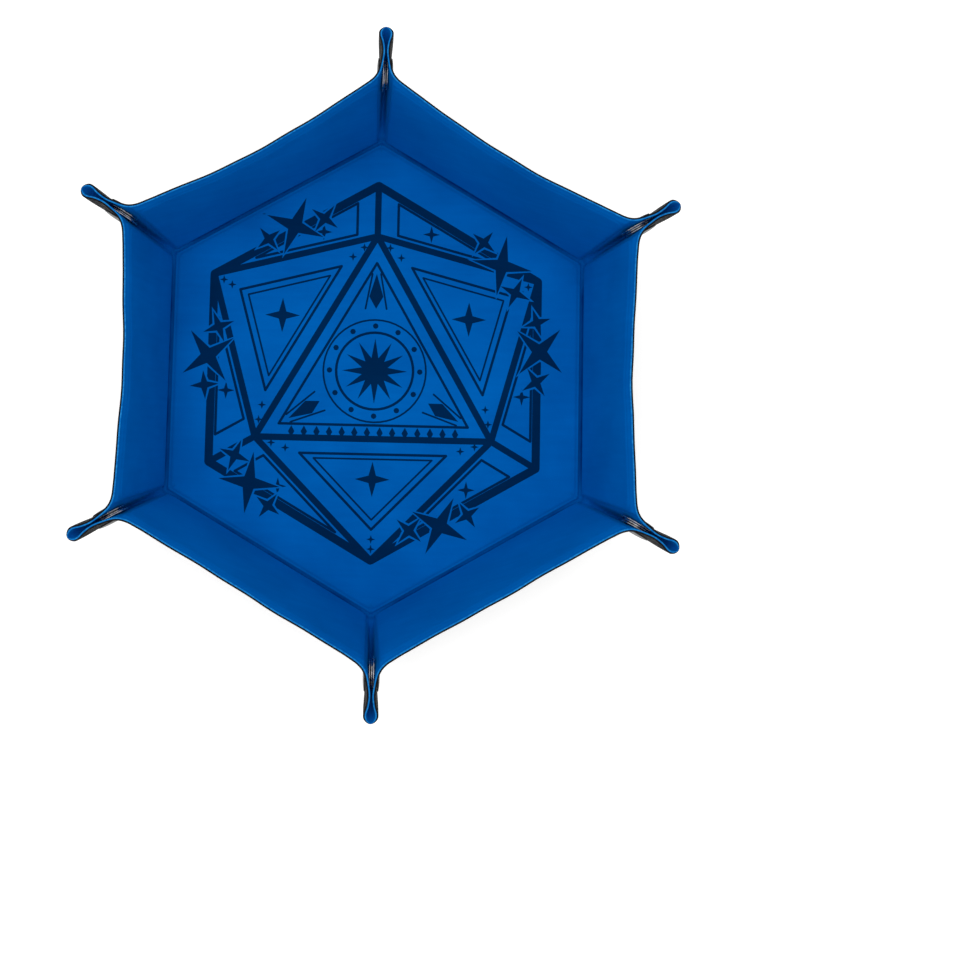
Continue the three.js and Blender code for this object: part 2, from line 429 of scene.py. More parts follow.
def new_object(name, points, faces, materials, indices=None, sharp=40):
    mesh = bpy.data.meshes.new(name)
    mesh.from_pydata((np.asarray(points) * MM).tolist(), [], faces)
    for material in materials:
        mesh.materials.append(material)
    if indices is not None:
        mesh.polygons.foreach_set("material_index", indices)
    mesh.polygons.foreach_set("use_smooth", [True] * len(mesh.polygons))
    mesh.set_sharp_from_angle(angle=math.radians(sharp))
    mesh.update()
    piece = bpy.data.objects.new(name, mesh)
    bpy.context.scene.collection.objects.link(piece)
    return piece


def store(piece, name, kind, key, values):
    attribute = piece.data.attributes.new(name, kind, "POINT")
    attribute.data.foreach_set(key, np.ravel(values).astype(np.float32))


AT_RIM = 0.01


def ply(name, flat, faces, wall, top, bottom, materials, place=fold_up, marks=None):
    """A closed piece of one layer, from its flat outline. Its cut edges at the rim take the second
    material, and marks gives the material of each face on its upper side."""
    x, y = flat[:, 0], flat[:, 1]
    count = len(flat)
    upper = place(x, y, top, wall)
    lower = place(x, y, bottom, wall)
    edges = {}
    for face in faces:
        for a, b in zip(face, face[1:] + face[:1]):
            if (b, a) in edges:
                del edges[(b, a)]
            else:
                edges[(a, b)] = True
    rim = to_rim(x, np.abs(y))
    sides = [(b, a, a + count, b + count) for a, b in edges]
    cut = [1 if max(rim[a], rim[b]) < AT_RIM else 0 for a, b in edges]
    under = [tuple(v + count for v in reversed(face)) for face in faces]
    indices = (marks or [0] * len(faces)) + [0] * len(faces) + cut
    points = turned_to(np.concatenate([upper, lower]), wall)
    piece = new_object(name, points, faces + under + sides, materials, indices)
    pattern = np.stack([x + FLOOR_APOTHEM, y, np.zeros(count)], -1)
    store(piece, "pattern", "FLOAT_VECTOR", "vector", np.tile(turned_to(pattern, wall), (2, 1)))
    store(piece, "rim", "FLOAT", "value", np.tile(rim, 2))
    # the share of painted shade along the floor creases
    store(piece, "crease_shade", "FLOAT", "value", np.tile(painted_crease_shade(x, y), 2))
    return piece


def to_rim(x, y):
    """The flat distance to the sheet's cut edge."""
    off, along = off_ridge(x, y), along_ridge(x, y)
    centre = (WALL_HEIGHT - CORNER_RADIUS) / math.cos(CORNER)
    round_part = off < CORNER_RADIUS * math.sin(CORNER)
    rounded = np.where(along > centre, CORNER_RADIUS - np.hypot(along - centre, off), WALL_HEIGHT - x)
    return np.maximum(np.where(round_part, rounded, WALL_HEIGHT - x), 0)


# ---- The flat outlines of the pieces

def stretches(ends_and_steps):
    """Values from 0 through each stretch's end, with its step."""
    starts = [0] + [end for end, step in ends_and_steps[:-1]]
    return chain(*(spread(start, end, step) for start, (end, step) in zip(starts, ends_and_steps)))


def root_seam(x):
    """Where a bend piece ends on the flap's side, across the end crease, in the row at x: at the
    ridge below the flap's root, and short of it above."""
    ridge = x * (math.tan(CORNER) - math.tan(END_SLANT)) * math.cos(END_SLANT)
    return np.minimum(END_SEAM, np.where(x > ROOT_START, ROOT_SHARE, 1) * ridge)


def wall_flat(seam):
    """A wall from its strip of floor to the rim, between its two bend pieces."""
    rows = stretches(ROW_STRETCHES)
    half = stretches(HALF_COLUMNS)
    share = np.concatenate([-half[::-1], half[1:]])
    x, f = np.meshgrid(rows, share, indexing="ij")
    upper = np.stack([x, f * wall_end(x, -END_SEAM)], -1).reshape(-1, 2)
    faces = grid_faces(len(rows), len(share))
    coarse, fine = STRIP_STEPS
    strip_rows = chain(spread(-seam, -STRIP_FINE, coarse), spread(-STRIP_FINE, 0, fine))
    end_share = np.linspace(0, 1, END_COLUMNS)
    low_end = wall_end(0, -END_SEAM)
    points, strips = [upper], list(faces)
    for sign in (-1, 0, 1):  # the strip's clockwise end, its middle and its other end
        columns = share if sign == 0 else end_share
        xs, fs = np.meshgrid(strip_rows, columns, indexing="ij")
        inner = low_end + STRIP_TAPER * xs
        corner = (FLOOR_APOTHEM + xs) * math.tan(CORNER)
        ys = fs * inner if sign == 0 else sign * (inner + fs * (corner - inner))
        start = sum(len(p) for p in points)
        points.append(np.stack([xs, ys], -1).reshape(-1, 2))
        for face in grid_faces(len(strip_rows), len(columns)):
            strips.append(tuple(v + start for v in (face if sign >= 0 else face[::-1])))
    return weld(np.concatenate(points), strips)


def bend_flat():
    """The stretch across an end crease, at the anticlockwise end."""
    rows = stretches(ROW_STRETCHES)
    x, share = np.meshgrid(rows, np.linspace(0, 1, END_COLUMNS), indexing="ij")
    across = -END_SEAM + share * (root_seam(x) + END_SEAM)
    flat = np.stack([x, wall_end(x, across)], -1).reshape(-1, 2)
    return weld(flat, grid_faces(len(rows), END_COLUMNS))


def flap_flat():
    """A flap from its bend piece to the ridge, round the sheet's corner."""
    rows = stretches(ROW_STRETCHES)
    rows = rows[rows >= ROOT_START]
    seam_x, seam_y = rows, wall_end(rows, root_seam(rows))
    centre = (WALL_HEIGHT - CORNER_RADIUS) / math.cos(CORNER)
    widest = off_ridge(seam_x[-1], seam_y[-1])
    tip = RIDGE_CUT + (EAR_LOOP - RIDGE_CUT) * (1 - np.cos(np.linspace(0, math.pi / 2, TIP_COLUMNS)))
    off = chain(tip, spread(EAR_LOOP, widest, FLAP_STEP))[::-1]
    round_off = CORNER_RADIUS * math.sin(CORNER)
    arc = centre + np.sqrt(np.maximum(CORNER_RADIUS**2 - off**2, 0))
    line = (WALL_HEIGHT - off * math.sin(CORNER)) / math.cos(CORNER)
    edge_x, edge_y = ridge_place(np.where(off < round_off, arc, line), off)
    u = ((widest - off) / (widest - RIDGE_CUT))[None, :]
    t = ((rows - rows[0]) / (rows[-1] - rows[0]))[:, None]
    start = ROOT_START / math.cos(CORNER)
    ridge_x, ridge_y = ridge_place(start + t * (centre + CORNER_RADIUS - start), RIDGE_CUT)
    chord_x = (1 - u) * edge_x[0] + u * edge_x[-1]
    chord_y = (1 - u) * edge_y[0] + u * edge_y[-1]
    x = (1 - u) * seam_x[:, None] + u * ridge_x + t**3 * (edge_x - chord_x)
    y = (1 - u) * seam_y[:, None] + u * ridge_y + t**3 * (edge_y - chord_y)
    flat = np.stack([x, y], -1).reshape(-1, 2)
    return weld(flat, grid_faces(len(rows), len(off)))


def floor_flat(apothem):
    """A hexagon as rings of quads round a middle one, close together over the board's edge."""
    edge = apothem - FLOOR_EDGE
    rings = chain(spread(FLOOR_MIDDLE, edge, FLOOR_RING), spread(edge, apothem, FLOOR_EDGE_RING))
    rings = rings / math.cos(CORNER)
    share = np.arange(FLOOR_STEPS) / FLOOR_STEPS
    loop = []
    for k in range(SIDES):
        angles = (k - 0.5) * SIXTH, (k + 0.5) * SIXTH
        start, end = (np.array([math.cos(angle), math.sin(angle)]) for angle in angles)
        loop.append(start + share[:, None] * (end - start))
    loop = np.concatenate(loop)
    loop = np.concatenate([loop, loop[:1]])
    points = np.concatenate([radius * loop for radius in rings])
    flat, faces = weld(points, grid_faces(len(rings), len(loop)))
    faces.append(tuple(range(SIDES * FLOOR_STEPS)))
    return flat - np.array([FLOOR_APOTHEM, 0]), faces


def lies_flat(x, y, height, wall):
    """The floor's own place, used instead of fold_up. It is the same for every wall."""
    return np.stack([x + FLOOR_APOTHEM, y, np.broadcast_to(height, x.shape)], -1)


def mirrored(flat, faces):
    return flat * np.array([1, -1]), [face[::-1] for face in faces]


# ---- Materials. Patterns on the sheets are scaled per millimetre, and those on other pieces per metre

VELVET_DEEP = (0.0, 0.094, 0.395, 1)
VELVET_BRIGHT = (0.0, 0.150, 0.560, 1)
# the colour of the painted highlight along the velvet's cut edge
VELVET_EDGE_HIGHLIGHT = (0.02, 0.27, 0.68, 1)
# the colour of the painted shade along the floor creases
VELVET_CREASE_SHADE = (0.0, 0.006, 0.12, 1)
VELVET_SHEEN = (0.0, 0.45, 1.0, 1)
INK_DEEP = (0.0, 0.015, 0.062, 1)
INK_BRIGHT = (0.0, 0.024, 0.095, 1)
LEATHER_PORE = (0.003, 0.003, 0.004, 1)
LEATHER_PEBBLE = (0.008, 0.008, 0.009, 1)
LEATHER_WORN = (0.013, 0.013, 0.014, 1)
BOARD_DARK = (0.2, 0.17, 0.14, 1)
BOARD_LIGHT = (0.33, 0.3, 0.25, 1)
BOARD_SPECK = (0.09, 0.08, 0.07, 1)
NICKEL_DULL = (0.36, 0.355, 0.345, 1)
NICKEL_BRIGHT = (0.66, 0.65, 0.635, 1)
ENAMEL_DARK = (0.008, 0.008, 0.009, 1)
ENAMEL_LIGHT = (0.018, 0.018, 0.02, 1)
PAPER_WHITE = (0.93, 0.93, 0.93, 1)
WHITE = (1, 1, 1, 1)


def node_material(name):
    material = bpy.data.materials.new(name)
    material.use_nodes = True
    tree = material.node_tree
    return material, tree, tree.nodes["Principled BSDF"]


def add(tree, kind, inputs=(), **settings):
    """A node with its settings, and its inputs given as values or as other nodes' outputs."""
    node = tree.nodes.new(kind)
    for key, value in settings.items():
        setattr(node, key, value)
    for key, value in dict(inputs).items():
        if isinstance(value, bpy.types.NodeSocket):
            tree.links.new(value, node.inputs[key])
        else:
            node.inputs[key].default_value = value
    return node


def noise(tree, vector, scale, detail=2.0, roughness=0.5):
    inputs = {"Vector": vector, "Scale": scale, "Detail": detail, "Roughness": roughness}
    return add(tree, "ShaderNodeTexNoise", inputs).outputs["Fac"]


def remap(tree, value, low, high, to_low=0.0, to_high=1.0):
    inputs = {"Value": value, "From Min": low, "From Max": high, "To Min": to_low, "To Max": to_high}
    return add(tree, "ShaderNodeMapRange", inputs).outputs["Result"]


def mix(tree, share, a, b):
    node = add(tree, "ShaderNodeMix", data_type="RGBA")
    for socket, value in ((node.inputs[0], share), (node.inputs[6], a), (node.inputs[7], b)):
        if isinstance(value, bpy.types.NodeSocket):
            tree.links.new(value, socket)
        else:
            socket.default_value = value
    return node.outputs[2]


def combine(tree, operation, a, b):
    return add(tree, "ShaderNodeMath", {0: a, 1: b}, operation=operation).outputs[0]


def weighted_sum(tree, *terms):
    """The sum of values, each times its weight."""
    total = None
    for value, weight in terms:
        part = combine(tree, "MULTIPLY", value, weight)
        total = part if total is None else combine(tree, "ADD", total, part)
    return total


def bump(tree, shader, height, strength, distance):
    inputs = {"Height": height, "Strength": strength, "Distance": distance * MM}
    tree.links.new(add(tree, "ShaderNodeBump", inputs).outputs["Normal"], shader.inputs["Normal"])


def finish(shader, sockets):
    for name, value in sockets.items():
        shader.inputs[name].default_value = value


def pattern(tree):
    return add(tree, "ShaderNodeAttribute", attribute_name="pattern").outputs["Vector"]


def stored(tree, name):
    return add(tree, "ShaderNodeAttribute", attribute_name=name).outputs["Fac"]


def stretched(tree, vector, scale):
    return add(tree, "ShaderNodeMapping", {"Vector": vector, "Scale": scale}).outputs["Vector"]


def velvet_material(name, deep, bright, edge):
    """Short-pile velvet: clumps of pile, brushed streaks and mottling, with a painted highlight along
    the cut edge and painted shade along the floor creases."""
    material, tree, shader = node_material(name)
    place = pattern(tree)
    mottle = remap(tree, noise(tree, place, scale=0.035, detail=3.0), 0.3, 0.7)
    brushed = stretched(tree, place, (0.06, 0.5, 1))
    streaks = remap(tree, noise(tree, brushed, scale=1.0, detail=3.0), 0.3, 0.7)
    pile = noise(tree, place, scale=2.6, detail=3.0, roughness=0.7)
    clumps = remap(tree, pile, 0.25, 0.75)
    shade = weighted_sum(tree, (mottle, 0.5), (streaks, 0.18), (clumps, 0.35))
    color = mix(tree, shade, deep, bright)
    # a painted highlight along the velvet's cut edge, broken into dashes by noise
    tufts = combine(tree, "MULTIPLY", remap(tree, pile, 0.3, 0.7), 0.35)
    rough_rim_distance = combine(tree, "ADD", stored(tree, "rim"), tufts)
    dashes = remap(tree, noise(tree, place, scale=0.9), 0.35, 0.6, to_low=0.25)
    edge_highlight = combine(tree, "MULTIPLY", remap(tree, rough_rim_distance, 0.4, 0.1), dashes)
    color = mix(tree, edge_highlight, color, edge)
    # painted shade along the floor creases, broken into uneven patches
    patches = remap(tree, noise(tree, place, scale=0.07), 0.35, 0.65, to_low=0.55, to_high=0.95)
    crease_shade = combine(tree, "MULTIPLY", stored(tree, "crease_shade"), patches)
    color = mix(tree, crease_shade, color, VELVET_CREASE_SHADE)
    tree.links.new(color, shader.inputs["Base Color"])
    finish(shader, {"Roughness": 0.95, "Specular IOR Level": 0.0})
    finish(shader, {"Sheen Weight": 0.2, "Sheen Roughness": 0.45, "Sheen Tint": VELVET_SHEEN})
    bump(tree, shader, pile, strength=0.35, distance=0.12)
    return material


def leather_material(name):
    """Grained imitation leather: small pebbles with pores between them."""
    material, tree, shader = node_material(name)
    place = pattern(tree)
    warp = add(tree, "ShaderNodeTexNoise", {"Vector": place, "Scale": 0.9}).outputs["Color"]
    wobbly = add(tree, "ShaderNodeVectorMath", {0: place, 1: warp}, operation="ADD").outputs[0]
    inputs = {"Vector": wobbly, "Scale": 1.05}
    cells = add(tree, "ShaderNodeTexVoronoi", inputs, feature="DISTANCE_TO_EDGE")
    pebble = remap(tree, cells.outputs["Distance"], 0.0, 0.28)
    fine = noise(tree, place, scale=6.0)
    color = mix(tree, pebble, LEATHER_PORE, LEATHER_PEBBLE)
    worn = remap(tree, noise(tree, place, scale=0.05), 0.35, 0.7, to_high=0.4)
    color = mix(tree, worn, color, LEATHER_WORN)
    tree.links.new(color, shader.inputs["Base Color"])
    roughness = remap(tree, pebble, 0, 1, to_low=0.75, to_high=0.55)
    tree.links.new(roughness, shader.inputs["Roughness"])
    finish(shader, {"Specular IOR Level": 0.08})
    height = combine(tree, "ADD", pebble, combine(tree, "MULTIPLY", fine, 0.25))
    bump(tree, shader, height, strength=0.7, distance=0.16)
    return material


def object_place(tree):
    return add(tree, "ShaderNodeTexCoord").outputs["Object"]


def board_material(name):
    """Grey board: pressed fibres with darker specks."""
    material, tree, shader = node_material(name)
    place = object_place(tree)
    along_fibres = stretched(tree, place, (500, 1800, 500))
    fibres = noise(tree, along_fibres, scale=1.0, detail=4.0, roughness=0.7)
    specks = remap(tree, noise(tree, place, scale=2500.0), 0.62, 0.72)
    color = mix(tree, specks, mix(tree, fibres, BOARD_DARK, BOARD_LIGHT), BOARD_SPECK)
    tree.links.new(color, shader.inputs["Base Color"])
    finish(shader, {"Roughness": 0.92})
    bump(tree, shader, fibres, strength=0.4, distance=0.1)
    return material


def nickel_material(name):
    """Nickel plate with the fine swirls and spots of a stamped snap."""
    material, tree, shader = node_material(name)
    place = object_place(tree)
    cloud = noise(tree, place, scale=900.0, detail=3.0, roughness=0.6)
    scratch = noise(tree, stretched(tree, place, (4000, 700, 4000)), scale=1.0)
    color = mix(tree, cloud, NICKEL_DULL, NICKEL_BRIGHT)
    roughness = remap(tree, cloud, 0.3, 0.7, to_low=0.2, to_high=0.34)
    tree.links.new(color, shader.inputs["Base Color"])
    tree.links.new(roughness, shader.inputs["Roughness"])
    finish(shader, {"Metallic": 1.0})
    bump(tree, shader, scratch, strength=0.15, distance=0.02)
    return material


def cap_material(name):
    """Satin black enamel over a pressed cap, with a faint orange peel."""
    material, tree, shader = node_material(name)
    place = object_place(tree)
    peel = noise(tree, place, scale=1500.0)
    cloud = noise(tree, place, scale=500.0, detail=3.0)
    color = mix(tree, peel, ENAMEL_DARK, ENAMEL_LIGHT)
    roughness = remap(tree, cloud, 0.3, 0.7, to_low=0.3, to_high=0.45)
    tree.links.new(color, shader.inputs["Base Color"])
    tree.links.new(roughness, shader.inputs["Roughness"])
    finish(shader, {"Metallic": 0.3})
    bump(tree, shader, peel, strength=0.12, distance=0.03)
    return material


velvet = velvet_material("blue_velvet", VELVET_DEEP, VELVET_BRIGHT, VELVET_EDGE_HIGHLIGHT)
ink = velvet_material("navy_print_on_velvet", INK_DEEP, INK_BRIGHT, VELVET_EDGE_HIGHLIGHT)
leather = leather_material("black_leather")
greyboard = board_material("greyboard")
nickel = nickel_material("nickel_snap")
enamel = cap_material("black_cap")


# ---- The print on the floor: a twenty-sided die's outline, filled with plain geometric ornament

PRINT_MIDDLE = np.array([-0.7, 1.6])
PRINT_REACH = 73.2
FACE_REACH = 53.0
HEAVY_LINE = 3.2
BOLD_LINE = 2.5
FINE_LINE = 1.0
HAIR_LINE = 0.7

# ---- A small facet's outlines and corner stars, as shares from its middle, and its stars' sizes

FACET_OUTLINE = 0.62
FACET_INLINE = 0.5
CORNER_STARS = (0.74, 0.86)
CORNER_STAR = (1.7, 0.6)
SMALL_FACET_STAR = 3.4
WIDE_FACET_STAR = 6.8
FACET_STAR_WAIST = 0.3

# ---- The rosette, the lozenges and the kites of the large facet

MIDDLE_OUTLINE = 0.8
ROSETTE_RAYS = 12
ROSETTE_STAR = (12.8, 5.2)
ROSETTE_RINGS = (15.0, 20.0)
RING_CORNERS = 24
BEAD_REACH = 17.6
BEAD = 1.1
LOZENGE_SPACES = 15
LOZENGE = (2.3, 1.25)
LOZENGE_DROP = np.array([0, 2.9])
KITE_SHARES = (0.46, 0.72)
KITE_BELLY = 0.35
KITE_WIDTH = 0.2
WHISKER_SPREADS = (1.5, 0.6)

# ---- The sparkles. A group's large one is its two reaches and turn; a small one has its place first

SPARKLE_REACH = 65.0
SPARKLE_ANGLES = (8, 41, 120, 176, 223, 294)
LARGE_SPARKLE = (12.0, 3.0, 40)
SMALL_SPARKLES = ((11.5, 88, 5.6, 1.7, 10), (12.0, -104, 6.4, 1.8, 25))
SPARKLE_GAP = 0.9


def around(middle, reach, degrees):
    angle = math.radians(degrees)
    return np.asarray(middle) + reach * np.array([math.cos(angle), math.sin(angle)])


def star(middle, rays, outer, inner, turn=90.0):
    """A filled star, or a regular outline when both reaches are the same. It runs anticlockwise, as
    all shapes do."""
    step = 180 / rays
    return [around(middle, inner if k % 2 else outer, turn + k * step) for k in range(2 * rays)]


def stroke(start, end, width):
    along = (end - start) / np.hypot(*(end - start))
    side = np.array([-along[1], along[0]]) * width / 2
    return [start + side, start - side, end - side, end + side]


def drawn(points, width, closed=True):
    """A line through points, with round joints."""
    ends = list(zip(points, points[1:] + points[:1] if closed else points[1:]))
    shapes = [stroke(start, end, width) for start, end in ends]
    return shapes + [star(point, 6, width / 2, width / 2) for point in points]


def shrunk(corners, share):
    middle = sum(corners) / len(corners)
    return [middle + share * (corner - middle) for corner in corners]


def facet_ornament(corners, size):
    """Outlines inside a facet round a star, and smaller stars across the corners of a wide one."""
    middle = sum(corners) / len(corners)
    shapes = drawn(shrunk(corners, FACET_OUTLINE), FINE_LINE)
    shapes.append(star(middle, 4, size, FACET_STAR_WAIST * size))
    if size == WIDE_FACET_STAR:
        shapes += drawn(shrunk(corners, FACET_INLINE), HAIR_LINE)
        for corner in corners:
            places = [middle + share * (corner - middle) for share in CORNER_STARS]
            shapes += [star(place, 4, *CORNER_STAR) for place in places]
    return shapes


def rosette(middle):
    """A star in two rings, with beads between them."""
    inner, outer = ROSETTE_RINGS
    shapes = drawn(star(middle, RING_CORNERS, inner, inner), FINE_LINE)
    shapes.append(star(middle, ROSETTE_RAYS, *ROSETTE_STAR))
    angles = [360 / ROSETTE_RAYS * k for k in range(ROSETTE_RAYS)]
    shapes += [star(around(middle, BEAD_REACH, angle), 4, BEAD, BEAD) for angle in angles]
    return shapes + drawn(star(middle, RING_CORNERS, outer, outer), HAIR_LINE)


def kite(middle, corner):
    """A kite that points into a corner, between two whiskers."""
    inner, outer = (middle + share * (corner - middle) for share in KITE_SHARES)
    belly = inner + KITE_BELLY * (outer - inner)
    side = np.array([inner[1] - outer[1], outer[0] - inner[0]]) * KITE_WIDTH
    low, high = WHISKER_SPREADS
    shapes = [[inner, belly - side, outer, belly + side]]
    for sign in (-1, 1):
        ends = [inner + sign * low * side, outer + sign * high * side]
        shapes += drawn(ends, HAIR_LINE, closed=False)
    return shapes


def middle_ornament(corners):
    """A rosette in the large facet, a row of lozenges along its foot, and kites in its corners."""
    middle = sum(corners) / len(corners)
    outline = shrunk(corners, MIDDLE_OUTLINE)
    shapes = drawn(outline, FINE_LINE) + rosette(middle)
    left, right = outline[1:]
    for k in range(1, LOZENGE_SPACES):
        place = left + (right - left) * k / LOZENGE_SPACES - LOZENGE_DROP
        shapes.append(star(place, 2, *LOZENGE))
    for corner in corners:
        shapes += kite(middle, corner)
    return shapes


def sparkles(grown):
    """Groups of sparkles over the outline, each shape grown by a margin."""
    shapes = []
    for degrees in SPARKLE_ANGLES:
        place = around(PRINT_MIDDLE, SPARKLE_REACH, degrees)
        outer, inner, turn = LARGE_SPARKLE
        shapes.append(star(place, 4, outer + 2 * grown, inner + grown, degrees + turn))
        for reach, angle, outer, inner, turn in SMALL_SPARKLES:
            beside = around(place, reach, degrees + angle)
            shapes.append(star(beside, 4, outer + 2 * grown, inner + grown, degrees + turn))
    return shapes


def print_shapes():
    """The outlines of the ornament, of the gaps left round the sparkles, and of the sparkles."""
    tips = [around(PRINT_MIDDLE, PRINT_REACH, 90 + 60 * k) for k in range(SIDES)]
    face = [around(PRINT_MIDDLE, FACE_REACH, 90 + 120 * k) for k in range(3)]
    shapes = drawn(tips, HEAVY_LINE) + drawn(face, BOLD_LINE) + middle_ornament(face)
    for k in range(3):
        near = [tips[(2 * k + step) % SIDES] for step in (-1, 0, 1)]
        for tip in near:
            shapes += drawn([face[k], tip], BOLD_LINE, closed=False)
        for start, end in zip(near, near[1:]):
            shapes += facet_ornament([face[k], start, end], SMALL_FACET_STAR)
        shapes += facet_ornament([face[k], near[2], face[(k + 1) % 3]], WIDE_FACET_STAR)
    return shapes, sparkles(SPARKLE_GAP), sparkles(0.0)


CUT_TOLERANCE = 1e-4
INKED_LAYERS = (1, 3)
INK_SLOT = 2


def cut_along_print(flat):
    """The floor's flat points and faces with the print's edges cut in, and the material of each face."""
    to_middle = np.array([FLOOR_APOTHEM, 0])
    points = [tuple(point) for point in flat + to_middle]
    loops = [list(range(len(points) - SIDES * FLOOR_STEPS, len(points)))]
    layers = [0]
    for layer, shapes in enumerate(print_shapes()):
        for shape in shapes:
            loops.append(list(range(len(points), len(points) + len(shape))))
            layers.append(layer + 1)
            points += [tuple(point) for point in shape]
    points = [Vector(point) for point in points]
    places, _, faces, _, _, origins = delaunay_2d_cdt(points, [], loops, 0, CUT_TOLERANCE, True)
    kept, marks = [], []
    for face, over in zip(faces, origins):
        if over:
            a, b, c = (places[v] for v in face)
            kept.append(tuple(face) if (b - a).cross(c - a) > 0 else tuple(face)[::-1])
            marks.append(INK_SLOT if max(layers[loop] for loop in over) in INKED_LAYERS else 0)
    return np.array([tuple(place) for place in places]) - to_middle, kept, marks


# ---- The sheet's pieces

def in_row(point, side, wall):
    """A point of the sixth, on one of its two sides, in the row frame's metres."""
    place = np.array(point, float)
    place[1] *= side
    return tuple(turned_to(place, wall) * MM)


def end_bend_points():
    """Where the bend across an end crease starts and ends, half way up the crease. Their directions
    come from points well clear of the bend."""
    reach, clear = 24.0, 15.0
    axis = bend(reach, wall_end(reach, 0.0), CREASE_HEIGHT)
    ends = []
    for across in (-clear, clear):
        x = reach - across * math.sin(END_SLANT)
        y = wall_end(reach, 0.0) + across * math.cos(END_SLANT)
        place = bend(x, y, CREASE_HEIGHT)
        ends.append(axis + (place - axis) * END_ZONE / np.linalg.norm(place - axis))
    return ends


def crease_bend_points(zone):
    axis = np.array([FLOOR_APOTHEM, 0, CREASE_HEIGHT])
    up = np.array([math.cos(WALL_FOLD), 0, math.sin(WALL_FOLD)])
    return axis - np.array([zone, 0, 0]), axis + zone * up


def ply_heights(layer, flat):
    """The two faces of a layer over these flat points, as heights."""
    if layer == "velvet":
        top = velvet_face(flat[:, 0], flat[:, 1])
        return top, top - VELVET
    lift = rim_lift(flat[:, 0], flat[:, 1])
    return lift + LEATHER, lift


LAYERS = {
    "velvet": {"node": "lining", "slot": "blue_velvet", "material": velvet, "zone": VELVET_ZONE},
    "leather": {"node": "skin", "slot": "black_leather", "material": leather, "zone": LEATHER_ZONE},
}
FLAPS = {1: "stud", -1: "socket"}
FLAP_MIDDLE = (30.0, 5.0)


def add_floor(layer):
    kind = LAYERS[layer]
    apothem = FLOOR_APOTHEM - kind["zone"] - SEAM_SLACK
    flat, faces = floor_flat(apothem)
    materials = [kind["material"]] * 2
    marks = None
    if layer == "velvet":
        flat, faces, marks = cut_along_print(flat)
        materials.append(ink)
    top, bottom = ply_heights(layer, flat)
    piece = ply(f"{layer}_floor", flat, faces, 1, top, bottom, materials, lies_flat, marks)
    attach(piece, "floor")
    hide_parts(f"floor_{kind['node']}")


def layer_piece(layer, name, wall, flat, faces, side=1):
    """A piece of a layer at a wall, from its flat outline on the wall's anticlockwise side."""
    kind = LAYERS[layer]
    if side < 0:
        flat, faces = mirrored(flat, faces)
    top, bottom = ply_heights(layer, flat)
    name = f"{layer}_{name}_{wall}"
    piece = ply(name, flat, faces, wall, top, bottom, [kind["material"]] * 2)
    return piece


def add_wall(layer, wall):
    kind = LAYERS[layer]
    piece = layer_piece(layer, "wall", wall, *wall_flat(kind["zone"] + SEAM_SLACK))
    start, end = (in_row(point, 1, wall) for point in crease_bend_points(kind["zone"]))
    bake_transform(piece)
    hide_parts(f"wall_{kind['node']}_{wall}")
    return piece


def add_bend(layer, wall, side):
    piece = layer_piece(layer, f"{FLAPS[side]}_bend", wall, *bend_flat(), side)
    start, end = (in_row(point, side, wall) for point in end_bend_points())
    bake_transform(piece)
    return piece


def add_flap(layer, wall, side):
    """A flap, with the loop it has while the corner is closed, riding on its flap part."""
    node = f"{FLAPS[side]}_flap_{wall}"
    piece = layer_piece(layer, f"{FLAPS[side]}_flap", wall, *flap_flat(), side)
    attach(piece, node)
    axis = Vector(in_row(MIRROR, side, wall)).normalized()
    face = FLAP_FACE if layer == "velvet" else 0.0
    anchor = in_row(bend(*ridge_place(*FLAP_MIDDLE), face), side, wall)
    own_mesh(piece)
    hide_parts(node)
    return piece


def flat_area(piece):
    """The flat area of a piece's upper face, in square metres, from the places stored on it."""
    values = np.zeros(len(piece.data.vertices) * 3, np.float32)
    piece.data.attributes["pattern"].data.foreach_get("vector", values)
    place = values.reshape(-1, 3)
    half = len(place) // 2
    total = 0.0
    for face in piece.data.polygons:
        corners = list(face.vertices)
        if max(corners) < half:
            x, y = place[corners, 0], place[corners, 1]
            total += 0.5 * abs(float(np.sum(x * np.roll(y, -1) - y * np.roll(x, -1))))
    return total * MM * MM


def add_layer(layer):
    """One sheet: its floor, and each wall with its bend and flap pieces."""
    add_floor(layer)
    width = 2 * HALF_SIDE * MM
    length = (WALL_HEIGHT + LAYERS[layer]["zone"] + SEAM_SLACK) * MM
    for wall in range(1, SIDES + 1):
        panel = add_wall(layer, wall)
        others = [add_bend(layer, wall, side) for side in FLAPS]
        others += [add_flap(layer, wall, side) for side in FLAPS]
        area = min(flat_area(panel), width * length)


for layer in LAYERS:
    add_layer(layer)


# ---- The boards and the snaps

BOARD_ROUND_ROWS = 7
BOARD_ROW = 1.8
BOARD_COLUMNS = 41


def add_wall_board(wall):
    low, high = BOARD_CREASE_MARGIN, WALL_HEIGHT - BOARD_RIM_MARGIN
    round_share = 1 - np.cos(np.linspace(0, math.pi / 2, BOARD_ROUND_ROWS))
    lower, upper = low + BOARD_CORNER * round_share, (high - BOARD_CORNER * round_share)[::-1]
    rows = chain(lower, spread(low + BOARD_CORNER, high - BOARD_CORNER, BOARD_ROW), upper)
    into = np.clip(1 - np.minimum(rows - low, high - rows) / BOARD_CORNER, 0, 1)
    half = wall_end(rows, -BOARD_END_MARGIN) - BOARD_CORNER * (1 - np.sqrt(1 - into**2))
    share = np.linspace(-1, 1, BOARD_COLUMNS)
    flat = np.stack([np.repeat(rows, len(share)), np.outer(half, share).ravel()], -1)
    faces = grid_faces(len(rows), len(share))
    top, bottom = np.full(len(flat), BOARD_TOP), np.full(len(flat), BOARD_BOTTOM)
    piece = ply(f"board_wall_{wall}", flat, faces, wall, top, bottom, [greyboard] * 2)
    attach(piece, f"wall_{wall}")
    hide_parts(f"wall_board_{wall}")


def arc(centre, radius, start, end, steps=6):
    """Points on an arc of a turned profile, with angles in degrees from the outward radius."""
    angles = [math.radians(start + (end - start) * k / steps) for k in range(steps + 1)]
    return [(centre[0] + radius * math.cos(a), centre[1] + radius * math.sin(a)) for a in angles]


